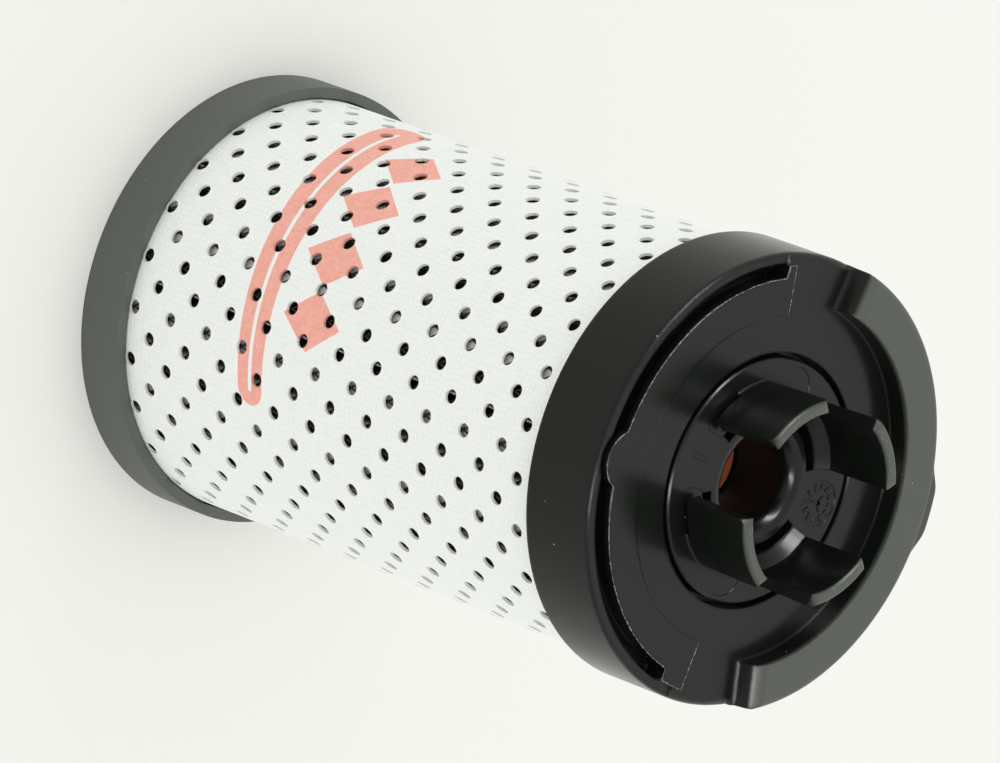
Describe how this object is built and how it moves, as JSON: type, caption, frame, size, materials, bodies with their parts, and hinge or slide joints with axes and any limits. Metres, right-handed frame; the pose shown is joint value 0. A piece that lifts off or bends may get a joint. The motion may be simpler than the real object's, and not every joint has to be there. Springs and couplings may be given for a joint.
{
  "type": "hydraulic filter element",
  "caption": "Cylindrical hydraulic filter element: pleated pack in a perforated white wrap between black end caps, with a snap-in bypass valve.",
  "frame": {"origin": "centre of the outlet bore on the outer face of the outlet end cap", "axes": "+Z along the filter axis from the outlet cap to the closed cap, +Y towards the lug on the rim of the closed cap"},
  "size_m": [0.0858, 0.0873, 0.1544],
  "materials": {
    "cap_plastic": "satin moulded black plastic",
    "valve_plastic": "satin moulded black plastic",
    "wrap_sheet": "white coated sheet with a fine weave",
    "net_plastic": "black extruded net",
    "pleat_mesh": "grey woven mesh",
    "fleece": "soft white fleece",
    "filter_paper": "matt filter paper",
    "potting_resin": "cast resin",
    "clip_steel": "plain steel strip",
    "tube_plastic": "moulded plastic",
    "seal_rubber": "smooth black rubber",
    "flat_seal": "smooth dark red rubber",
    "poppet_plastic": "orange-brown moulded plastic",
    "spring_steel": "drawn spring wire"
  },
  "bodies": {
    "element": {"outlet_end_cap": "cap_plastic", "outlet_o_ring": "seal_rubber", "outlet_potting": "potting_resin", "closed_end_cap": "cap_plastic", "closed_end_potting": "potting_resin", "wrap_sleeve": "wrap_sheet", "support_net": "net_plastic", "upstream_mesh": "pleat_mesh", "prefilter_fleece": "fleece", "filter_media": "filter_paper", "downstream_mesh": "pleat_mesh", "seam_clip": "clip_steel", "centre_tube": "tube_plastic", "valve_body": "valve_plastic", "hub_seal": "flat_seal", "valve_spring": "spring_steel", "valve_cage": "valve_plastic"},
    "poppet": {"valve_poppet": "poppet_plastic", "poppet_seal": "seal_rubber"}
  },
  "joints": [
    {"name": "valve_slide", "type": "slide", "parent": "element", "child": "poppet", "axis": [0, 0, -1], "range_m": [0, 0.007], "stiffness_N_per_m": 4000, "springref_m": -0.009, "deforming": ["valve_spring"]}
  ]
}
